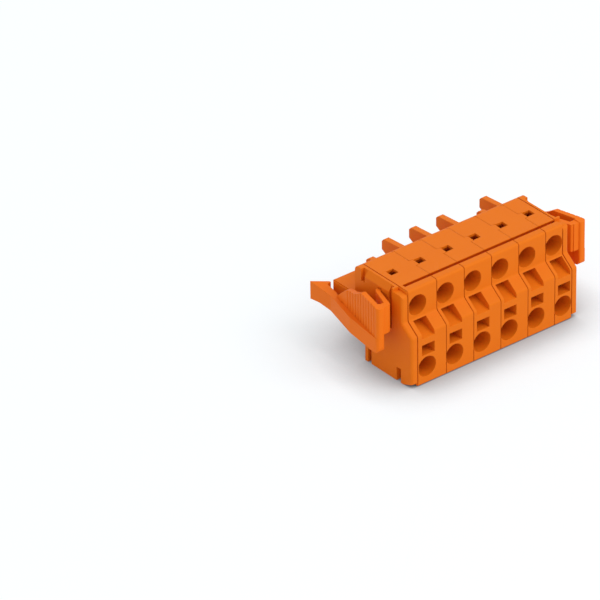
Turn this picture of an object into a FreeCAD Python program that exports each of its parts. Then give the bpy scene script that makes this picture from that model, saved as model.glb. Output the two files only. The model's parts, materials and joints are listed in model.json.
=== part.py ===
import FreeCAD, Part
import math
import os

from FreeCAD import Vector

os.makedirs("parts", exist_ok=True)

# A six-pole pluggable terminal block with spring clamps for two wires per pole
# x runs along the row of poles, -y is the wire entry side, +y the mating side, z is up
# All sizes are in millimetres

# Row of poles, each with its seam to the left of its contact axis
POLES = 6
PITCH = 7.62
SEAM_TO_AXIS = 2.27
END_TO_AXIS = 2.7
AXIS_0 = -(POLES - 1) / 2 * PITCH
HALF_ROW = END_TO_AXIS - AXIS_0
SEAM_GAP = 0.09
END_GAP = 0.24
SEAM_DEPTH = 0.3

# Current bars of a contact, mirrored about MID_Z
MID_Z = 11.15
BAR_X0 = 1.4
BAR_X1 = 3.4
BAR_THICK = 0.7
BAR_TOP = 15.5
BAR_FRONT = -8.0
WEB_THICK = 0.8
WEB_RIM = 0.5

# Wire entries, round with the neighbour's wall as a flat on the left
WIRE_X = 2.25
WIRE_HIGH_R = 2.45
WIRE_LOW_R = 2.45
WIRE_LIFT = 0.1
WIRE_HIGH_Z = BAR_TOP + WIRE_LIFT + WIRE_HIGH_R
WIRE_LOW_Z = 2 * MID_Z - BAR_TOP - WIRE_LIFT - WIRE_LOW_R

# Clamp cages and their springs, at rest on the bars
CAGE_FRONT = -7.5
CAGE_THICK = 0.4
CAGE_RIM = 0.55
CAGE_HEAD = 0.95
CAGE_FOOT = 0.35
CAGE_FOOT_LONG = 1.6
CAGE_PLAY = 0.25
CAGE_TO_MID = 0.1
WINDOW_PLAY = 0.2
WINDOW_OVER = 0.25
SPRING_THICK = 0.3
SPRING_RIM = 0.1
SPRING_TO_WEB = 0.25
SPRING_TO_CAGE = 0.3
SPRING_SETBACK = 0.4

# Cavity of a pole
CAVITY_FRONT = -8.5
CAVITY_BACK = -1.3
CAVITY_SINK = 0.2
CAVITY_LOW = WIRE_LOW_Z - WIRE_LOW_R - CAVITY_SINK
CAVITY_HIGH = WIRE_HIGH_Z + WIRE_HIGH_R
CAVITY_WIDTH = BAR_X1 + WINDOW_PLAY + CAGE_RIM + CAGE_PLAY

# Housing profile, seen along the row
ROOF = 1.8
TOP = CAVITY_HIGH + ROOF
FLOOR = 0.1
FRONT_LOW = -16.0
FRONT_HIGH = -12.83
STEP_LOW = 12.5
STEP_HIGH = 14.9
WALL_BACK = 2.9
BASE_BACK = -0.24
MATE_FACE = 12.6
MATE_TOP = 13.6
MATE_UNDER = 8.35
EDGE_R = 0.4
FRONT_R = 0.55
STEP_R = 0.8
BACK_R = 1.0
ARC_STEPS = 3

# Slit of the top plate, undercut below its lip, and the overlap at each seam with its tab
GAP_FRONT = -10.9
GAP_BACK = -9.95
GAP_DEPTH = 1.4
GAP_LIP = 0.15
GAP_UNDERCUT = 0.75
GAP_FLOOR = TOP - GAP_DEPTH
GAP_END_WALL = 0.9
OVERLAP = 0.36
TAB_MARGIN = 0.2

# Tool entries
TOOL_X0 = 0.87
TOOL_X1 = 4.37
TOOL_LOW_Z0 = 7.25
TOOL_LOW_Z1 = 9.85
TROUGH_WALL = 0.9
TROUGH_RISE = 2.15
TROUGH_THROAT = 1.15
TROUGH_ROOF = WIRE_HIGH_Z - WIRE_HIGH_R - TROUGH_WALL
TROUGH_LIP = TROUGH_ROOF - TROUGH_THROAT - TROUGH_RISE

# Test opening, wider below the top skin
TEST_Y = -4.42
TEST_SIDE = 2.0
TEST_SKIN = 0.6
TEST_RELIEF = 0.9

# Mating sockets
SOCKET_Z = 10.46
SOCKET_BORE_R = 1.9
SOCKET_BORE_END = 3.6
BOSS_R = 2.9
BOSS_STEPS = 8
BARREL_R = 1.5
BARREL_SIDES = 8
BARREL_START = 3.8
BARREL_END = 9.6
PIN_HOLE_R = 0.62
PIN_HOLE_START = 5.2
FORK_SLIT = 0.36
FORK_START = 5.6
NECK_WIDTH = 0.8
NECK_SLOT_PLAY = 0.2
NECK_HIGH = 2.4

# Keying fins on the mating section: place from the pole's seam, by pole
FIN_WIDTH = 1.4
FIN_ROOT_TOP = 19.3
FIN_TIP_TOP = 18.6
FIN_NOSE = 0.65
FIN_NOTCH = 2.2
FIN_NOTCH_HIGH = 2.3
FIN_NOTCH_LOW = 1.1
FIN_SINK = 0.3
SHORT_FIN_END = 8.6
FIN_FAR = 6.4
FIN_FARTHEST = 6.9
FIN_NEAR = 3.5
LONG_FINS = {1: FIN_FAR, 2: FIN_FAR, 3: FIN_FAR, 5: FIN_NEAR}
SHORT_FINS = {0: FIN_FAR, 4: FIN_FARTHEST}

# End plates
PLATE_THICK = 1.55
PLATE_OUTER = HALF_ROW + PLATE_THICK
PLATE_FRONT_DROP = 0.75
PLATE_LEDGE_Y = -9.9
PLATE_BACK = -0.34
PLATE_TOE = 1.1
PLATE_EDGE_R = 0.65
PLATE_CORNER_R = 0.9
FOOT_FRONT = -13.1
FOOT_SLOT_HIGH = 3.4
FRONT_SLOT_Y0 = -12.35
FRONT_SLOT_Y1 = -10.9
BACK_SLOT_Y0 = -2.45
BACK_SLOT_Y1 = -1.3
GROOVE_DEEP = 0.85
FRONT_GROOVE_Y0 = -9.4
FRONT_GROOVE_Y1 = -8.45
FRONT_GROOVE_Z = 12.2
BACK_GROOVE_Y0 = -0.45
BACK_GROOVE_Y1 = 0.8
BACK_GROOVE_Z = 19.4
BEVEL_WIDE = 1.0
BEVEL_HIGH = 1.4

# Locking levers, measured out from the end plate's outer face
LEVER_REAR = -12.0
LEVER_TIP = 16.0
LEVER_OUT_REAR = 6.0
LEVER_LEAN = 0.235
LEVER_LOW = 9.1
LEVER_HEEL_R = 1.5
ARM_OUTER = [(-1.0, 4.7), (8.5, 2.25), (LEVER_TIP, 1.85)]
ARM_INNER = [(8.8, 0.45), (5.0, 2.1)]
ARM_TOP = 12.9
HOOK_BACK = 12.7
HOOK_BACK_IN = 0.2
HOOK_LOW = 8.5
HOOK_IN = 1.35
HOOK_NOSE_Y0 = 12.9
HOOK_NOSE_Y1 = 13.25
GRIP_WALL = 1.25
GRIP_END = 7.6
GRIP_PROFILE = [(LEVER_REAR, 20.2), (-10.4, 20.3), (-4.3, 20.2), (-1.9, 18.7), (-0.3, 18.0),
                (2.2, 17.3), (3.6, 16.4), (GRIP_END, ARM_TOP)]
NOSE_WIDE = 2.0
NOSE_LONG = 1.9
NOSE_R = 0.7
NOSE_INNER_R = 0.45
LEAF_LOW = 13.3
LEAF_TOP = 20.1
LEAF_FRONT = -11.4
LEAF_FRONT_OUT = 2.0
LEAF_FRONT_R = 0.35
LEAF_THICK = 1.3
LEAF_WEB_FRONT = -11.6
LEAF_TIP_THICK = 0.75
LEAF_NECK = 0.6
BEAD_OUT = 0.32
BEAD_R = 0.62
BEAD_PLAY = 0.06
BEAD_END_PLAY = 0.4
PIVOT_X = PLATE_OUTER + BEAD_OUT
PIVOT_Y = -5.4
GRIP_GROOVES = 11
GRIP_GROOVE_Y = -10.3
GRIP_GROOVE_STEP = 1.25
GRIP_GROOVE_DEEP = 0.2
GRIP_GROOVE_WIDE = 0.6

# How far a cutting shape passes the face it cuts
PAST = 1.0


# Small building blocks
def box(x0, x1, y0, y1, z0, z1):
    return Part.makeBox(x1 - x0, y1 - y0, z1 - z0, Vector(x0, y0, z0))


def prism(points, direction):
    return Part.Face(Part.makePolygon(points + points[:1])).extrude(direction)


def prism_x(points, x0, x1):
    return prism([Vector(x0, y, z) for y, z in points], Vector(x1 - x0, 0, 0))


def prism_y(points, y0, y1):
    return prism([Vector(x, y0, z) for x, z in points], Vector(0, y1 - y0, 0))


def prism_z(points, z0, z1):
    return prism([Vector(x, y, z0) for x, y in points], Vector(0, 0, z1 - z0))


def bore_y(x, z, r, y0, y1):
    return Part.makeCylinder(r, y1 - y0, Vector(x, y0, z), Vector(0, 1, 0))


def post_z(x, y, r, z0, z1):
    return Part.makeCylinder(r, z1 - z0, Vector(x, y, z0), Vector(0, 0, 1))


def arc(u, v, r, start, end, steps):
    angles = [math.radians(start + (end - start) * i / steps) for i in range(steps + 1)]
    return [(u + r * math.cos(a), v + r * math.sin(a)) for a in angles]


# Outline with each corner (u, v, radius) rounded by a short arc
def rounded(corners):
    points = []
    for i, (u, v, radius) in enumerate(corners):
        if radius == 0:
            points.append((u, v))
            continue
        here = Vector(u, v, 0)
        back = (Vector(*corners[i - 1][:2], 0) - here).normalize()
        ahead = (Vector(*corners[(i + 1) % len(corners)][:2], 0) - here).normalize()
        half = back.getAngle(ahead) / 2
        centre = here + (back + ahead).normalize() * (radius / math.sin(half))
        first = here + back * (radius / math.tan(half)) - centre
        last = here + ahead * (radius / math.tan(half)) - centre
        sweep = first.getAngle(last)
        for step in range(ARC_STEPS + 1):
            turn = sweep * step / ARC_STEPS
            spoke = (first * math.sin(sweep - turn) + last * math.sin(turn)) * (1 / math.sin(sweep))
            points.append((centre.x + spoke.x, centre.y + spoke.y))
    return points


# Outline moved inwards by one depth, for corners that run clockwise
def inset(corners, depth):
    points = []
    for i, (u, v, _) in enumerate(corners):
        here = Vector(u, v, 0)
        came = (here - Vector(*corners[i - 1][:2], 0)).normalize()
        goes = (Vector(*corners[(i + 1) % len(corners)][:2], 0) - here).normalize()
        normal_a = Vector(came.y, -came.x, 0)
        normal_b = Vector(goes.y, -goes.x, 0)
        shift = (normal_a + normal_b) * (depth / (1 + normal_a.dot(normal_b)))
        points.append((u + shift.x, v + shift.y))
    return points


def mirror_x(shape):
    return shape.mirror(Vector(0, 0, 0), Vector(1, 0, 0))


def flip_down(shape):
    return shape.mirror(Vector(0, 0, MID_Z), Vector(0, 0, 1))


def save(shape, name):
    clean = shape.removeSplitter()
    if len(clean.Solids) == 1:
        clean = clean.Solids[0]
    clean.exportStep("parts/" + name + ".step")


# Left face of a pole, where the next housing begins
def seam_of(index):
    return AXIS_0 + PITCH * index - SEAM_TO_AXIS


HOUSING_OUTLINE = [
    (FRONT_LOW, FLOOR, EDGE_R),
    (FRONT_LOW, STEP_LOW, STEP_R),
    (FRONT_HIGH, STEP_HIGH, STEP_R),
    (FRONT_HIGH, TOP, FRONT_R),
    (WALL_BACK, TOP, BACK_R),
    (WALL_BACK, MATE_TOP, EDGE_R),
    (MATE_FACE, MATE_TOP, EDGE_R),
    (MATE_FACE, MATE_UNDER, 0),
    (BASE_BACK, MATE_UNDER, 0),
    (BASE_BACK, FLOOR, EDGE_R),
]


# Keying fins, notched behind the nose on the long ones
def long_fin(x):
    return prism_x([
        (WALL_BACK - FIN_SINK, MATE_TOP - FIN_SINK),
        (WALL_BACK - FIN_SINK, FIN_ROOT_TOP),
        (MATE_FACE - FIN_NOSE, FIN_TIP_TOP),
        (MATE_FACE, FIN_TIP_TOP - FIN_NOSE),
        (MATE_FACE, MATE_TOP + FIN_NOTCH_HIGH),
        (MATE_FACE - FIN_NOTCH, MATE_TOP + FIN_NOTCH_LOW),
        (MATE_FACE - FIN_NOTCH, MATE_TOP - FIN_SINK),
    ], x - FIN_WIDTH / 2, x + FIN_WIDTH / 2)


def short_fin(x):
    return prism_x([
        (WALL_BACK - FIN_SINK, MATE_TOP - FIN_SINK),
        (WALL_BACK - FIN_SINK, FIN_ROOT_TOP),
        (SHORT_FIN_END - FIN_NOSE, FIN_TIP_TOP),
        (SHORT_FIN_END, FIN_TIP_TOP - FIN_NOSE),
        (SHORT_FIN_END, MATE_TOP - FIN_SINK),
    ], x - FIN_WIDTH / 2, x + FIN_WIDTH / 2)


# Pole housings: open on the left, closed there by the neighbour or the end plate
def pole_housing(index):
    seam = seam_of(index)
    axis = seam + SEAM_TO_AXIS
    first = index == 0
    last = index == POLES - 1
    left = -HALF_ROW if first else seam
    right = HALF_ROW if last else seam + PITCH

    # The skin stops short of both faces, so that a groove marks each seam
    skin_left = left + (END_GAP if first else SEAM_GAP)
    skin_right = right - (END_GAP if last else SEAM_GAP)
    skin = prism_x(rounded(HOUSING_OUTLINE), skin_left, skin_right)
    core = prism_x(inset(HOUSING_OUTLINE, SEAM_DEPTH), left, right)
    added = [core]

    # Rounded belly of the socket, below the mating section
    belly = prism_y(arc(axis, SOCKET_Z, BOSS_R, 180, 360, BOSS_STEPS), BASE_BACK, MATE_FACE)
    belly_room = box(skin_left, skin_right, BASE_BACK, MATE_FACE, FLOOR, SOCKET_Z)
    added.append(belly.common(belly_room))
    if index in LONG_FINS:
        added.append(long_fin(seam + LONG_FINS[index]))
    if index in SHORT_FINS:
        added.append(short_fin(seam + SHORT_FINS[index]))
    body = skin.fuse(added)

    # Cavity for the contact and its two clamps
    cuts = [box(seam, seam + CAVITY_WIDTH, CAVITY_FRONT, CAVITY_BACK, CAVITY_LOW, CAVITY_HIGH)]

    # Wire entries, upper and lower
    wire_room = box(seam, right, FRONT_LOW - PAST, CAVITY_FRONT, FLOOR, TOP)
    upper = bore_y(seam + WIRE_X, WIRE_HIGH_Z, WIRE_HIGH_R, FRONT_HIGH - PAST, CAVITY_FRONT)
    lower = bore_y(seam + WIRE_X, WIRE_LOW_Z, WIRE_LOW_R, FRONT_LOW - PAST, CAVITY_FRONT)
    cuts.append(upper.common(wire_room))
    cuts.append(lower.common(wire_room))

    # Tool entries: a square slot below, a rising trough above
    cuts.append(box(seam + TOOL_X0, seam + TOOL_X1, FRONT_LOW - PAST, CAVITY_FRONT,
                    TOOL_LOW_Z0, TOOL_LOW_Z1))
    cuts.append(prism_x([
        (FRONT_LOW - PAST, TROUGH_LIP),
        (FRONT_LOW, TROUGH_LIP),
        (CAVITY_FRONT, TROUGH_LIP + TROUGH_RISE),
        (CAVITY_FRONT, TROUGH_ROOF),
        (FRONT_LOW - PAST, TROUGH_ROOF),
    ], seam + TOOL_X0, seam + TOOL_X1))

    # Socket bore and the slot that carries the contact's neck
    cuts.append(bore_y(axis, SOCKET_Z, SOCKET_BORE_R, SOCKET_BORE_END, MATE_FACE + PAST))
    cuts.append(box(seam, axis + NECK_WIDTH / 2 + NECK_SLOT_PLAY, CAVITY_BACK, SOCKET_BORE_END,
                    SOCKET_Z - NECK_HIGH / 2, SOCKET_Z + NECK_HIGH / 2))

    # Test opening in the top plate
    half = TEST_SIDE / 2
    cuts.append(box(axis - half, axis + half, TEST_Y - half, TEST_Y + half,
                    CAVITY_HIGH, TOP + PAST))
    cuts.append(box(axis - half, axis + half + TEST_RELIEF, TEST_Y - half,
                    TEST_Y + half + TEST_RELIEF, CAVITY_HIGH, TOP - TEST_SKIN))

    # The top plate overlaps the next pole, and a tab on it reaches to the test opening
    overlap_back = WALL_BACK - BACK_R
    tab_front = TEST_Y - half - TAB_MARGIN
    tab_back = TEST_Y + half + TAB_MARGIN
    tab_reach = SEAM_TO_AXIS - half
    if not first:
        cuts.append(box(left - PAST, seam + OVERLAP, GAP_BACK - PAST, overlap_back,
                        GAP_FLOOR, TOP + PAST))
        cuts.append(box(left - PAST, seam + tab_reach, tab_front, tab_back,
                        GAP_FLOOR, TOP + PAST))
    body = body.cut(cuts)
    if not last:
        body = body.fuse([
            box(right - SEAM_DEPTH, right + OVERLAP - SEAM_GAP, GAP_BACK - PAST,
                overlap_back - SEAM_GAP, GAP_FLOOR, TOP),
            box(right - SEAM_DEPTH, right + tab_reach - SEAM_GAP, tab_front + SEAM_GAP,
                tab_back - SEAM_GAP, GAP_FLOOR, TOP),
        ])

    # Slit between the front wall and the top plate
    slit = prism_x([
        (GAP_FRONT, TOP + PAST),
        (GAP_BACK, TOP + PAST),
        (GAP_BACK, TOP - GAP_LIP),
        (GAP_BACK + GAP_UNDERCUT, GAP_FLOOR),
        (GAP_FRONT, GAP_FLOOR),
    ], left + GAP_END_WALL if first else left - PAST, right + PAST)
    return body.cut(slit)


# End plate, with its outer face towards +x
def end_plate():
    plate_top = TOP - PLATE_FRONT_DROP
    outline = rounded([
        (FRONT_LOW, PLATE_TOE, 0),
        (FRONT_LOW, STEP_LOW, PLATE_CORNER_R),
        (FRONT_HIGH, STEP_HIGH, STEP_R),
        (FRONT_HIGH, plate_top, PLATE_CORNER_R),
        (PLATE_LEDGE_Y, plate_top, 0),
        (PLATE_LEDGE_Y, TOP, 0),
        (WALL_BACK, TOP, BACK_R),
        (WALL_BACK, MATE_UNDER, 0),
        (PLATE_BACK, MATE_UNDER, 0),
        (PLATE_BACK, 0, 0),
        (BACK_SLOT_Y1, 0, 0),
        (BACK_SLOT_Y1, FOOT_SLOT_HIGH, 0),
        (BACK_SLOT_Y0, FOOT_SLOT_HIGH, 0),
        (BACK_SLOT_Y0, 0, 0),
        (FRONT_SLOT_Y1, 0, 0),
        (FRONT_SLOT_Y1, FOOT_SLOT_HIGH, 0),
        (FRONT_SLOT_Y0, FOOT_SLOT_HIGH, 0),
        (FRONT_SLOT_Y0, 0, 0),
        (FOOT_FRONT, 0, 0),
    ])
    plate = prism_x(outline, HALF_ROW, PLATE_OUTER)

    # Rounded outer edge along the wire entry side
    front = []
    for edge in plate.Edges:
        middle = edge.CenterOfMass
        if middle.x < PLATE_OUTER - EDGE_R:
            continue
        if PLATE_TOE < middle.z < plate_top - PLATE_CORNER_R and middle.y < FRONT_HIGH + EDGE_R:
            front.append(edge)
    plate = plate.makeFillet(PLATE_EDGE_R, front)

    # Two upright grooves in the outer face and a bevel between them
    groove_x = PLATE_OUTER - GROOVE_DEEP
    bevel = prism_y([
        (PLATE_OUTER - BEVEL_WIDE, TOP),
        (PLATE_OUTER, TOP),
        (PLATE_OUTER, TOP - BEVEL_HIGH),
    ], FRONT_GROOVE_Y1, BACK_GROOVE_Y0)
    return plate.cut([
        box(groove_x, PLATE_OUTER + PAST, BACK_GROOVE_Y0, BACK_GROOVE_Y1, BACK_GROOVE_Z, TOP + PAST),
        box(groove_x, PLATE_OUTER + PAST, FRONT_GROOVE_Y0, FRONT_GROOVE_Y1, FRONT_GROOVE_Z,
            TOP + PAST),
        bevel,
        post_z(PIVOT_X, PIVOT_Y, BEAD_R + BEAD_PLAY, LEAF_LOW - BEAD_END_PLAY,
               LEAF_TOP + BEAD_END_PLAY),
    ])


# Contact: two current bars on a web, with a neck to the forked socket
def contact(index):
    seam = seam_of(index)
    axis = seam + SEAM_TO_AXIS
    bar_low = 2 * MID_Z - BAR_TOP
    web_front = CAVITY_BACK - WEB_THICK
    upper = box(seam + BAR_X0, seam + BAR_X1, BAR_FRONT, web_front, BAR_TOP - BAR_THICK, BAR_TOP)
    lower = flip_down(upper)
    web = box(seam + BAR_X0 - WEB_RIM, seam + BAR_X1 + WEB_RIM, web_front, CAVITY_BACK,
              bar_low, BAR_TOP)
    neck = box(axis - NECK_WIDTH / 2, axis + NECK_WIDTH / 2, CAVITY_BACK, BARREL_START,
               SOCKET_Z - NECK_HIGH / 2, SOCKET_Z + NECK_HIGH / 2)
    corners = arc(axis, SOCKET_Z, BARREL_R, 0, 360, BARREL_SIDES)[:-1]
    barrel = prism_y(corners, BARREL_START, BARREL_END)
    barrel = barrel.cut([
        bore_y(axis, SOCKET_Z, PIN_HOLE_R, PIN_HOLE_START, BARREL_END),
        box(axis - FORK_SLIT / 2, axis + FORK_SLIT / 2, FORK_START, BARREL_END,
            SOCKET_Z - BARREL_R, SOCKET_Z + BARREL_R),
    ])
    return upper.fuse([lower, web, neck, barrel])


# Clamp cage of the upper wire entry: a window plate with a foot under the spring
def cage(index):
    seam = seam_of(index)
    window_x0 = seam + BAR_X0 - WINDOW_PLAY
    window_x1 = seam + BAR_X1 + WINDOW_PLAY
    window_top = BAR_TOP + WINDOW_OVER
    foot_low = MID_Z + CAGE_TO_MID
    frame = box(window_x0 - CAGE_RIM, window_x1 + CAGE_RIM, CAGE_FRONT, CAGE_FRONT + CAGE_THICK,
                foot_low, window_top + CAGE_HEAD)
    window = box(window_x0, window_x1, CAGE_FRONT, CAGE_FRONT + CAGE_THICK,
                 foot_low + CAGE_HEAD, window_top)
    foot = box(seam + BAR_X0, seam + BAR_X1, CAGE_FRONT, CAGE_FRONT + CAGE_FOOT_LONG,
               foot_low, foot_low + CAGE_FOOT)
    return frame.cut(window).fuse(foot)


# Clamp spring of the upper wire entry: a flat strip bent into a loop
def spring(index):
    seam = seam_of(index)
    low = MID_Z + CAGE_TO_MID + CAGE_FOOT
    high = BAR_TOP - BAR_THICK
    middle = (low + high) / 2
    radius = (high - low) / 2
    turn_y = CAVITY_BACK - WEB_THICK - SPRING_TO_WEB - radius
    moving_end = CAGE_FRONT + CAGE_THICK + SPRING_TO_CAGE
    fixed_end = moving_end + SPRING_SETBACK
    outside = arc(turn_y, middle, radius, -90, 90, 2 * ARC_STEPS)
    inside = arc(turn_y, middle, radius - SPRING_THICK, 90, -90, 2 * ARC_STEPS)
    strip = [(moving_end, low)] + outside + [(fixed_end, high)]
    strip += [(fixed_end, high - SPRING_THICK)] + inside + [(moving_end, low + SPRING_THICK)]
    return prism_x(strip, seam + BAR_X0 - SPRING_RIM, seam + BAR_X1 + SPRING_RIM)


# Outer face of the lever's grip, which leans in towards the back
def lever_x(y):
    return PLATE_OUTER + LEVER_OUT_REAR - LEVER_LEAN * (y - LEVER_REAR)


# Locking lever, with the outer face towards +x
def lever():
    # Plan view of the thin grip wall, which ends in a rounded nose
    nose_back = LEVER_REAR + NOSE_LONG
    nose = [
        (lever_x(nose_back) - GRIP_WALL, nose_back, 0),
        (lever_x(LEVER_REAR) - NOSE_WIDE, nose_back, 0),
        (lever_x(LEVER_REAR) - NOSE_WIDE, LEVER_REAR, NOSE_INNER_R),
        (lever_x(LEVER_REAR), LEVER_REAR, NOSE_R),
    ]
    grip_plan = [(lever_x(GRIP_END), GRIP_END, 0), (lever_x(GRIP_END) - GRIP_WALL, GRIP_END, 0)]

    # Plan view of the arm below it, which carries the latch hook at its tip
    arm_plan = [(PLATE_OUTER + out, y, 0) for y, out in ARM_OUTER]
    arm_plan += [
        (PLATE_OUTER - HOOK_IN, HOOK_NOSE_Y1, 0),
        (PLATE_OUTER - HOOK_IN, HOOK_NOSE_Y0, 0),
        (PLATE_OUTER - HOOK_BACK_IN, HOOK_BACK, 0),
    ]
    arm_plan += [(PLATE_OUTER + out, y, 0) for y, out in ARM_INNER]

    # Side views of the arm, with a rounded heel and a low hook, and of the grip
    inside = PLATE_OUTER - HOOK_IN - PAST
    outside = PLATE_OUTER + LEVER_OUT_REAR + PAST
    arm = prism_x(rounded([
        (LEVER_REAR, LEVER_LOW, LEVER_HEEL_R),
        (LEVER_REAR, ARM_TOP, 0),
        (LEVER_TIP, ARM_TOP, 0),
        (LEVER_TIP, HOOK_LOW, 0),
        (HOOK_BACK, LEVER_LOW, 0),
    ]), inside, outside)
    foot = LEVER_LOW + LEVER_HEEL_R
    grip = prism_x(GRIP_PROFILE + [(GRIP_END, foot), (LEVER_REAR, foot)], inside, outside)

    # Fine upright grooves in the grip
    grooves = []
    for step in range(GRIP_GROOVES):
        y = GRIP_GROOVE_Y + GRIP_GROOVE_STEP * step
        x = lever_x(y)
        grooves.append(prism_z([
            (x + GRIP_GROOVE_DEEP, y - GRIP_GROOVE_WIDE / 2),
            (x - GRIP_GROOVE_DEEP, y),
            (x + GRIP_GROOVE_DEEP, y + GRIP_GROOVE_WIDE / 2),
        ], HOOK_LOW, TOP))
    wall = prism_z(rounded(nose + grip_plan), HOOK_LOW, TOP).common(grip).cut(grooves)
    wall = wall.fuse(prism_z(rounded(nose + arm_plan), HOOK_LOW, TOP).common(arm))

    # Leaf folded back from the nose over a set-back web, with the pivot bead at its tip
    leaf_x0 = PLATE_OUTER + LEAF_FRONT_OUT
    leaf_x1 = leaf_x0 + LEAF_THICK
    web = box(leaf_x1 - LEAF_THICK / 2, lever_x(LEVER_REAR) - NOSE_WIDE / 2,
              LEAF_WEB_FRONT, nose_back, LEAF_LOW, LEAF_TOP)
    leaf = prism_z(rounded([
        (leaf_x0, LEAF_FRONT, LEAF_FRONT_R),
        (leaf_x1, LEAF_FRONT, LEAF_FRONT_R),
        (leaf_x0 + LEAF_TIP_THICK, nose_back, 0),
        (PIVOT_X + LEAF_TIP_THICK, PIVOT_Y, 0),
        (PIVOT_X, PIVOT_Y, 0),
        (PIVOT_X, PIVOT_Y - LEAF_NECK, 0),
    ]), LEAF_LOW, LEAF_TOP)
    bead = post_z(PIVOT_X, PIVOT_Y, BEAD_R, LEAF_LOW, LEAF_TOP)
    return wall.fuse([web, leaf, bead])


# Write every node
for i in range(POLES):
    number = str(i + 1)
    save(pole_housing(i), "pole_housing_" + number)
    save(contact(i), "contact_" + number)
    save(cage(i), "upper_cage_" + number)
    save(flip_down(cage(i)), "lower_cage_" + number)
    save(spring(i), "upper_spring_" + number)
    save(flip_down(spring(i)), "lower_spring_" + number)

plate_right = end_plate()
save(plate_right, "end_plate_right")
save(mirror_x(plate_right), "end_plate_left")

lever_right = lever()
save(lever_right, "lever_right")
save(mirror_x(lever_right), "lever_left")
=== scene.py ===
import json
import math

import bmesh
import bpy
from mathutils import Matrix, Vector


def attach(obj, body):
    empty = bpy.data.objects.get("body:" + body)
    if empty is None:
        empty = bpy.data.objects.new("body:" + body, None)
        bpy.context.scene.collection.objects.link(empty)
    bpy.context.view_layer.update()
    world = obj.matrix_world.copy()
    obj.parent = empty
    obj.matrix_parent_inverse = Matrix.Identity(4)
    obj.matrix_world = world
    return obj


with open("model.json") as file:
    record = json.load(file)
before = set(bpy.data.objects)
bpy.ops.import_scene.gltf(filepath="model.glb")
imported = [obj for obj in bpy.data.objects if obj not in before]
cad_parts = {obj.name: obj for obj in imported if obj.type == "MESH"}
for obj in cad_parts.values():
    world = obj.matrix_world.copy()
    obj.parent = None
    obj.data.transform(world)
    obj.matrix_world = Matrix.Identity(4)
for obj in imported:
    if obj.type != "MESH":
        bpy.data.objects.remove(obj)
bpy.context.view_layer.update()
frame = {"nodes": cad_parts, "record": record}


# Contacts
# One stamped part per pole: two current bars on a web, and a forked socket for the header's pin.
# Copper alloy with a bright tin plating, pushed into the housing from the side.
TIN_COLOUR = (0.70, 0.69, 0.66, 1)
TIN_DULL = (0.50, 0.49, 0.46, 1)
TIN_ROUGHNESS = 0.22
STREAK_SCALE = 2600
STREAK_DETAIL = 4
STREAK_STRETCH = 0.08
STREAK_FROM = 0.3
STREAK_TO = 0.7
STREAK_ROUGHER = 0.25
STREAK_RELIEF = 0.25
STREAK_DEPTH = 0.00002
CLOUD_SCALE = 500


def new_group(name, inputs, outputs):
    tree = bpy.data.node_groups.new(name, "ShaderNodeTree")
    for label, kind in inputs:
        tree.interface.new_socket(label, in_out="INPUT", socket_type="NodeSocket" + kind)
    for label, kind in outputs:
        tree.interface.new_socket(label, in_out="OUTPUT", socket_type="NodeSocket" + kind)
    return tree, tree.nodes.new("NodeGroupInput"), tree.nodes.new("NodeGroupOutput")


# Rolled metal: fine streaks along the strip vary the roughness and the height, soft clouds the colour
def rolled_metal_group():
    tree, given, result = new_group(
        "rolled metal",
        [("Colour", "Color"), ("Dull colour", "Color"), ("Roughness", "Float")],
        [("Colour", "Color"), ("Roughness", "Float"), ("Height", "Float")])
    nodes, join = tree.nodes, tree.links.new
    place = nodes.new("ShaderNodeTexCoord")
    stretch = nodes.new("ShaderNodeMapping")
    stretch.inputs["Scale"].default_value = (1, STREAK_STRETCH, 1)
    streak = nodes.new("ShaderNodeTexNoise")
    streak.inputs["Scale"].default_value = STREAK_SCALE
    streak.inputs["Detail"].default_value = STREAK_DETAIL
    cloud = nodes.new("ShaderNodeTexNoise")
    cloud.inputs["Scale"].default_value = CLOUD_SCALE
    tint = nodes.new("ShaderNodeMix")
    tint.data_type = "RGBA"
    spread = nodes.new("ShaderNodeMapRange")
    spread.inputs["From Min"].default_value = STREAK_FROM
    spread.inputs["From Max"].default_value = STREAK_TO
    spread.inputs["To Max"].default_value = STREAK_ROUGHER
    total = nodes.new("ShaderNodeMath")
    total.operation = "ADD"
    join(place.outputs["Object"], stretch.inputs["Vector"])
    join(stretch.outputs["Vector"], streak.inputs["Vector"])
    join(place.outputs["Object"], cloud.inputs["Vector"])
    join(cloud.outputs["Fac"], tint.inputs["Factor"])
    join(given.outputs["Colour"], tint.inputs["A"])
    join(given.outputs["Dull colour"], tint.inputs["B"])
    join(streak.outputs["Fac"], spread.inputs["Value"])
    join(spread.outputs["Result"], total.inputs[0])
    join(given.outputs["Roughness"], total.inputs[1])
    join(tint.outputs["Result"], result.inputs["Colour"])
    join(total.outputs["Value"], result.inputs["Roughness"])
    join(streak.outputs["Fac"], result.inputs["Height"])
    return tree


rolled_metal = rolled_metal_group()


def metal(name, colour, dull, roughness):
    material = bpy.data.materials.new(name)
    material.use_nodes = True
    nodes, join = material.node_tree.nodes, material.node_tree.links.new
    skin = nodes["Principled BSDF"]
    skin.inputs["Metallic"].default_value = 1
    surface = nodes.new("ShaderNodeGroup")
    surface.node_tree = rolled_metal
    surface.inputs["Colour"].default_value = colour
    surface.inputs["Dull colour"].default_value = dull
    surface.inputs["Roughness"].default_value = roughness
    bump = nodes.new("ShaderNodeBump")
    bump.inputs["Strength"].default_value = STREAK_RELIEF
    bump.inputs["Distance"].default_value = STREAK_DEPTH
    join(surface.outputs["Colour"], skin.inputs["Base Color"])
    join(surface.outputs["Roughness"], skin.inputs["Roughness"])
    join(surface.outputs["Height"], bump.inputs["Height"])
    join(bump.outputs["Normal"], skin.inputs["Normal"])
    return material


def dress(node, material):
    for slot in frame["nodes"][node].material_slots:
        slot.material = material


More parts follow.
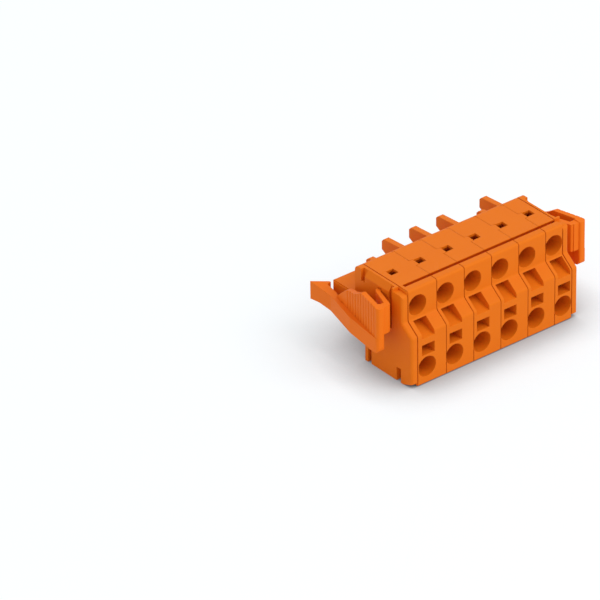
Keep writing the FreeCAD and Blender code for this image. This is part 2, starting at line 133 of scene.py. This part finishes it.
tinned = metal("tinned_contact", TIN_COLOUR, TIN_DULL, TIN_ROUGHNESS)
poles = range(1, 1 + sum(name.startswith("contact_") for name in frame["nodes"]))
for pole in poles:
    dress(f"contact_{pole}", tinned)


# Clamp cages and springs
# A window plate hangs over each current bar, and a looped strip below it pulls the wire down.
# Hard rolled chrome-nickel steel, darker and duller than the tin.
SPRING_COLOUR = (0.46, 0.45, 0.44, 1)
SPRING_DULL = (0.30, 0.29, 0.28, 1)
SPRING_ROUGHNESS = 0.30

spring_steel = metal("spring_steel", SPRING_COLOUR, SPRING_DULL, SPRING_ROUGHNESS)
for pole in poles:
    for row in ("upper", "lower"):
        dress(f"{row}_cage_{pole}", spring_steel)
        dress(f"{row}_spring_{pole}", spring_steel)


# Pole housings
# Six like mouldings side by side, each closed by the back of its neighbour.
# Orange polyamide with a fine eroded finish, its edges soft from the mould, with a painted highlight
# along the edges and painted shade in narrow gaps.
ORANGE = (0.80, 0.180, 0.007, 1)
ORANGE_DEEP = (0.76, 0.158, 0.006, 1)
# A painted highlight colour, laid on the edges where the rounded normal bends away.
ORANGE_PAINTED_HIGHLIGHT = (0.90, 0.215, 0.012, 1)
# A painted shade colour, laid in narrow gaps, the slit and the sockets.
ORANGE_PAINTED_SHADE = (0.62, 0.100, 0.005, 1)
PLASTIC_SHINE = 0.08
TONE_SCALE = 130
TONE_DETAIL = 3
TONE_FROM = 0.35
TONE_TO = 0.75
TONE_SHARE = 0.35
EDGE_RADIUS = 0.00012
EDGE_SAMPLES = 8
# These three values mask the painted highlight on the edges, by how far the rounded normal bends.
HIGHLIGHT_BEND_FROM = 0.995
HIGHLIGHT_BEND_TO = 0.86
HIGHLIGHT_SHARE = 0.8
# These four values set the occlusion that lays painted shade in narrow gaps.
PAINTED_SHADE_REACH = 0.0014
PAINTED_SHADE_SAMPLES = 6
PAINTED_SHADE_FROM = 0.5
PAINTED_SHADE_TO = 0.1
GRAIN_DETAIL = 5
GRAIN_CRISPNESS = 0.65
GRAIN_ROUGHER = 0.05
GRAIN_RELIEF = 0.3
HOUSING_GRAIN = 5200
HOUSING_GRAIN_DEPTH = 0.00002
HOUSING_ROUGHNESS = 0.46


# Moulded skin: slow shifts of tone, a fine eroded grain, a painted highlight along the edges
# and painted shade in narrow gaps
def moulded_skin_and_painted_light_group():
    tree, given, result = new_group(
        "moulded skin and painted light",
        [("Colour", "Color"), ("Deep colour", "Color"), ("Painted highlight colour", "Color"),
         ("Painted shade colour", "Color"), ("Rounded normal", "Vector"), ("Grain scale", "Float"),
         ("Roughness", "Float")],
        [("Colour", "Color"), ("Roughness", "Float"), ("Height", "Float")])
    nodes, join = tree.nodes, tree.links.new
    place = nodes.new("ShaderNodeTexCoord")
    tone = nodes.new("ShaderNodeTexNoise")
    tone.inputs["Scale"].default_value = TONE_SCALE
    tone.inputs["Detail"].default_value = TONE_DETAIL
    tone_range = nodes.new("ShaderNodeMapRange")
    tone_range.inputs["From Min"].default_value = TONE_FROM
    tone_range.inputs["From Max"].default_value = TONE_TO
    tone_range.inputs["To Max"].default_value = TONE_SHARE
    flow = nodes.new("ShaderNodeMix")
    flow.data_type = "RGBA"
    grain = nodes.new("ShaderNodeTexNoise")
    grain.inputs["Detail"].default_value = GRAIN_DETAIL
    grain.inputs["Roughness"].default_value = GRAIN_CRISPNESS
    flat = nodes.new("ShaderNodeNewGeometry")
    bend = nodes.new("ShaderNodeVectorMath")
    bend.operation = "DOT_PRODUCT"
    # Painted highlight: edges take a lighter colour where the rounded normal bends away from the
    # face.
    painted_highlight_mask = nodes.new("ShaderNodeMapRange")
    painted_highlight_mask.inputs["From Min"].default_value = HIGHLIGHT_BEND_FROM
    painted_highlight_mask.inputs["From Max"].default_value = HIGHLIGHT_BEND_TO
    painted_highlight_mask.inputs["To Max"].default_value = HIGHLIGHT_SHARE
    rim = nodes.new("ShaderNodeMix")
    rim.data_type = "RGBA"
    # Painted shade: occlusion within a short reach darkens narrow gaps towards a deep colour.
    painted_shade_occlusion = nodes.new("ShaderNodeAmbientOcclusion")
    painted_shade_occlusion.samples = PAINTED_SHADE_SAMPLES
    painted_shade_occlusion.inputs["Distance"].default_value = PAINTED_SHADE_REACH
    painted_shade_mask = nodes.new("ShaderNodeMapRange")
    painted_shade_mask.inputs["From Min"].default_value = PAINTED_SHADE_FROM
    painted_shade_mask.inputs["From Max"].default_value = PAINTED_SHADE_TO
    painted_shade_mix = nodes.new("ShaderNodeMix")
    painted_shade_mix.data_type = "RGBA"
    gloss = nodes.new("ShaderNodeMapRange")
    gloss.inputs["To Min"].default_value = -GRAIN_ROUGHER
    gloss.inputs["To Max"].default_value = GRAIN_ROUGHER
    total = nodes.new("ShaderNodeMath")
    total.operation = "ADD"
    join(place.outputs["Object"], tone.inputs["Vector"])
    join(tone.outputs["Fac"], tone_range.inputs["Value"])
    join(tone_range.outputs["Result"], flow.inputs["Factor"])
    join(given.outputs["Colour"], flow.inputs["A"])
    join(given.outputs["Deep colour"], flow.inputs["B"])
    join(place.outputs["Object"], grain.inputs["Vector"])
    join(given.outputs["Grain scale"], grain.inputs["Scale"])
    join(flat.outputs["Normal"], bend.inputs[0])
    join(given.outputs["Rounded normal"], bend.inputs[1])
    join(bend.outputs["Value"], painted_highlight_mask.inputs["Value"])
    join(painted_highlight_mask.outputs["Result"], rim.inputs["Factor"])
    join(flow.outputs["Result"], rim.inputs["A"])
    join(given.outputs["Painted highlight colour"], rim.inputs["B"])
    join(painted_shade_occlusion.outputs["AO"], painted_shade_mask.inputs["Value"])
    join(painted_shade_mask.outputs["Result"], painted_shade_mix.inputs["Factor"])
    join(rim.outputs["Result"], painted_shade_mix.inputs["A"])
    join(given.outputs["Painted shade colour"], painted_shade_mix.inputs["B"])
    join(grain.outputs["Fac"], gloss.inputs["Value"])
    join(gloss.outputs["Result"], total.inputs[0])
    join(given.outputs["Roughness"], total.inputs[1])
    join(painted_shade_mix.outputs["Result"], result.inputs["Colour"])
    join(total.outputs["Value"], result.inputs["Roughness"])
    join(grain.outputs["Fac"], result.inputs["Height"])
    return tree


moulded_skin_and_painted_light = moulded_skin_and_painted_light_group()


def moulded_plastic(name, colour, grain_scale, grain_depth, roughness):
    material = bpy.data.materials.new(name)
    material.use_nodes = True
    nodes, join = material.node_tree.nodes, material.node_tree.links.new
    skin = nodes["Principled BSDF"]
    skin.inputs["Specular IOR Level"].default_value = PLASTIC_SHINE
    soften = nodes.new("ShaderNodeBevel")
    soften.samples = EDGE_SAMPLES
    soften.inputs["Radius"].default_value = EDGE_RADIUS
    surface = nodes.new("ShaderNodeGroup")
    surface.node_tree = moulded_skin_and_painted_light
    surface.inputs["Colour"].default_value = colour
    surface.inputs["Deep colour"].default_value = ORANGE_DEEP
    # The edges carry a painted highlight colour.
    surface.inputs["Painted highlight colour"].default_value = ORANGE_PAINTED_HIGHLIGHT
    # Narrow gaps carry a painted shade colour.
    surface.inputs["Painted shade colour"].default_value = ORANGE_PAINTED_SHADE
    surface.inputs["Grain scale"].default_value = grain_scale
    surface.inputs["Roughness"].default_value = roughness
    bump = nodes.new("ShaderNodeBump")
    bump.inputs["Strength"].default_value = GRAIN_RELIEF
    bump.inputs["Distance"].default_value = grain_depth
    join(soften.outputs["Normal"], surface.inputs["Rounded normal"])
    join(soften.outputs["Normal"], bump.inputs["Normal"])
    join(surface.outputs["Colour"], skin.inputs["Base Color"])
    join(surface.outputs["Roughness"], skin.inputs["Roughness"])
    join(surface.outputs["Height"], bump.inputs["Height"])
    join(bump.outputs["Normal"], skin.inputs["Normal"])
    return material


housing_plastic = moulded_plastic(
    "housing_plastic", ORANGE, HOUSING_GRAIN, HOUSING_GRAIN_DEPTH, HOUSING_ROUGHNESS)
for pole in poles:
    dress(f"pole_housing_{pole}", housing_plastic)


# Socket rims
# A thin raised ring round the mouth of each socket, part of the housing's moulding.
RIM_INNER = 0.0019
RIM_OUTER = 0.0023
RIM_PROUD = 0.00014
RIM_SEGMENTS = 10
RIM_STEPS = 48
WELD_DISTANCE = 1e-7


def finish_piece(mesh, name, material, body):
    bmesh.ops.remove_doubles(mesh, verts=mesh.verts, dist=WELD_DISTANCE)
    bmesh.ops.recalc_face_normals(mesh, faces=mesh.faces)
    data = bpy.data.meshes.new(name)
    mesh.to_mesh(data)
    mesh.free()
    piece = bpy.data.objects.new(name, data)
    bpy.context.scene.collection.objects.link(piece)
    data.materials.append(material)
    data.shade_smooth()
    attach(piece, body)


rim_half = (RIM_OUTER - RIM_INNER) / 2
upright = Matrix.Rotation(math.pi / 2, 4, "X")
sockets = {mount["name"]: mount for mount in frame["record"]["mounts"]}
for pole in poles:
    mouth = Vector(sockets[f"pin_socket_{pole}"]["pos_m"])
    mouth.y = sockets["mating_face"]["pos_m"][1]
    rim = bmesh.new()
    bmesh.ops.create_circle(rim, segments=RIM_SEGMENTS, radius=rim_half,
                            matrix=Matrix.Translation((RIM_INNER + rim_half, 0, 0)) @ upright)
    bmesh.ops.spin(rim, geom=rim.verts[:] + rim.edges[:], cent=(0, 0, 0), axis=(0, 0, 1),
                   angle=math.tau, steps=RIM_STEPS, use_merge=True)
    bmesh.ops.scale(rim, vec=(1, 1, RIM_PROUD / rim_half), verts=rim.verts)
    bmesh.ops.rotate(rim, cent=(0, 0, 0), matrix=upright, verts=rim.verts)
    bmesh.ops.translate(rim, vec=mouth, verts=rim.verts)
    finish_piece(rim, f"socket_rim_{pole}", housing_plastic, "housing")


# End plates
# A plate with two small feet closes each end of the row and carries a lever.
# The same orange plastic, plain on its outer face.
for side in ("left", "right"):
    dress(f"end_plate_{side}", housing_plastic)


# Locking levers
# A broad grip in front, a hook at the tip and a folded leaf that springs against the end plate.
# The same plastic, a little duller where fingers hold it, and painted lighter to stand in for the
# light that falls on it.
# The lever orange is the housing orange painted lighter, standing in for the light that falls on the
# lever.
LEVER_ORANGE_PAINTED_LIGHTER = (0.88, 0.180, 0.008, 1)
LEVER_GRAIN = 4300
LEVER_GRAIN_DEPTH = 0.00003
LEVER_ROUGHNESS = 0.5

lever_plastic = moulded_plastic(
    "lever_plastic", LEVER_ORANGE_PAINTED_LIGHTER, LEVER_GRAIN, LEVER_GRAIN_DEPTH, LEVER_ROUGHNESS)
for side in ("left", "right"):
    dress(f"lever_{side}", lever_plastic)


# Floor
# A white sheet that the block stands on, evenly lit, with the block's own soft shadow.
# To the eye and in gloss it is brighter than the light it throws back, and a painted shadow darkens
# it close to the block.
FLOOR_HALF = 3.0
PAPER = (0.80, 0.78, 0.78, 1)
PAPER_SEEN = (0.485, 0.49, 0.49, 1)
PAPER_FILL = (0.492, 0.525, 0.545, 1)
# Painted shadow: reach and samples of the occlusion that darkens the paper near the block.
PAINTED_SHADOW_REACH = 0.0115
PAINTED_SHADOW_SAMPLES = 16

sheet = bmesh.new()
bmesh.ops.create_grid(sheet, x_segments=1, y_segments=1, size=FLOOR_HALF)
floor_data = bpy.data.meshes.new("floor")
sheet.to_mesh(floor_data)
sheet.free()
floor = bpy.data.objects.new("floor", floor_data)
bpy.context.scene.collection.objects.link(floor)
paper = bpy.data.materials.new("white_paper")
paper.use_nodes = True
paper_nodes, paper_join = paper.node_tree.nodes, paper.node_tree.links.new
paper_skin = paper_nodes["Principled BSDF"]
paper_skin.inputs["Roughness"].default_value = 1
paper_skin.inputs["Specular IOR Level"].default_value = 0
ray = paper_nodes.new("ShaderNodeLightPath")
eye_or_gloss = paper_nodes.new("ShaderNodeMath")
eye_or_gloss.operation = "ADD"
tone = paper_nodes.new("ShaderNodeMix")
tone.data_type = "RGBA"
tone.inputs["A"].default_value = PAPER
# Painted shadow: occlusion darkens the seen paper colour and its glow close to the block.
painted_contact_shadow = paper_nodes.new("ShaderNodeAmbientOcclusion")
painted_contact_shadow.samples = PAINTED_SHADOW_SAMPLES
painted_contact_shadow.inputs["Distance"].default_value = PAINTED_SHADOW_REACH
painted_contact_shadow.inputs["Color"].default_value = PAPER_SEEN
glow_level_with_painted_shadow = paper_nodes.new("ShaderNodeMath")
glow_level_with_painted_shadow.operation = "MULTIPLY"
glow = paper_nodes.new("ShaderNodeEmission")
glow.inputs["Color"].default_value = PAPER_FILL
both = paper_nodes.new("ShaderNodeAddShader")
paper_join(ray.outputs["Is Camera Ray"], eye_or_gloss.inputs[0])
paper_join(ray.outputs["Is Glossy Ray"], eye_or_gloss.inputs[1])
paper_join(eye_or_gloss.outputs["Value"], tone.inputs["Factor"])
paper_join(painted_contact_shadow.outputs["Color"], tone.inputs["B"])
paper_join(tone.outputs["Result"], paper_skin.inputs["Base Color"])
paper_join(painted_contact_shadow.outputs["AO"], glow_level_with_painted_shadow.inputs[0])
paper_join(eye_or_gloss.outputs["Value"], glow_level_with_painted_shadow.inputs[1])
paper_join(glow_level_with_painted_shadow.outputs["Value"], glow.inputs["Strength"])
paper_join(paper_skin.outputs["BSDF"], both.inputs[0])
paper_join(glow.outputs["Emission"], both.inputs[1])
paper_join(both.outputs["Shader"], paper_nodes["Material Output"].inputs["Surface"])
floor_data.materials.append(paper)


# Light
# A bright even room with one large soft lamp above the wire entry side.
# To the eye and in gloss the room is plain white, a little brighter than the light that it gives.
WHITE = (1, 1, 1, 1)
ROOM_LEVEL = 0.80
LAMP_FROM = Vector((0.3, -0.62, 0.72))
LAMP_DISTANCE = 1.4
LAMP_SIZE = 0.8
LAMP_POWER = 7.0

world = bpy.data.worlds.new("room")
bpy.context.scene.world = world
world.use_nodes = True
world_nodes, world_join = world.node_tree.nodes, world.node_tree.links.new
room = world_nodes["Background"]
room.inputs["Color"].default_value = WHITE
room.inputs["Strength"].default_value = ROOM_LEVEL
seen = world_nodes.new("ShaderNodeBackground")
seen.inputs["Color"].default_value = WHITE
path = world_nodes.new("ShaderNodeLightPath")
eye_or_shine = world_nodes.new("ShaderNodeMath")
eye_or_shine.operation = "ADD"
choose = world_nodes.new("ShaderNodeMixShader")
world_join(path.outputs["Is Camera Ray"], eye_or_shine.inputs[0])
world_join(path.outputs["Is Glossy Ray"], eye_or_shine.inputs[1])
world_join(eye_or_shine.outputs["Value"], choose.inputs["Fac"])
world_join(room.outputs["Background"], choose.inputs[1])
world_join(seen.outputs["Background"], choose.inputs[2])
world_join(choose.outputs["Shader"], world_nodes["World Output"].inputs["Surface"])

lamp_data = bpy.data.lights.new("lamp", "AREA")
lamp_data.size = LAMP_SIZE
lamp_data.energy = LAMP_POWER
lamp = bpy.data.objects.new("lamp", lamp_data)
lamp.location = LAMP_FROM.normalized() * LAMP_DISTANCE
lamp.rotation_euler = (-LAMP_FROM).to_track_quat("-Z", "Y").to_euler()
bpy.context.scene.collection.objects.link(lamp)


# Camera
# It looks down on the wire entry side from the left, with the block in the right half of the view.
AIM = Vector((0, -0.00444, 0.0223))
AIM_PIXEL = (460.85, 242.34)
VIEW_PIXELS = 600
AZIMUTH = math.radians(-39.985)
ELEVATION = math.radians(30.898)
DISTANCE = 1.19814
FOCAL_PIXELS = 5592.3
SENSOR_WIDTH = 36
SIGHT_LENGTH = 20

camera_data = bpy.data.cameras.new("camera")
camera_data.sensor_width = SENSOR_WIDTH
camera_data.lens = FOCAL_PIXELS / VIEW_PIXELS * SENSOR_WIDTH
camera_data.shift_x = 0.5 - AIM_PIXEL[0] / VIEW_PIXELS
camera_data.shift_y = AIM_PIXEL[1] / VIEW_PIXELS - 0.5
camera_data.clip_end = SIGHT_LENGTH
camera = bpy.data.objects.new("camera", camera_data)
look = Vector((-math.sin(AZIMUTH) * math.cos(ELEVATION),
               math.cos(AZIMUTH) * math.cos(ELEVATION),
               -math.sin(ELEVATION)))
camera.location = AIM - look * DISTANCE
camera.rotation_euler = look.to_track_quat("-Z", "Y").to_euler()
bpy.context.scene.collection.objects.link(camera)
bpy.context.scene.camera = camera
bpy.context.scene.view_settings.view_transform = "Standard"
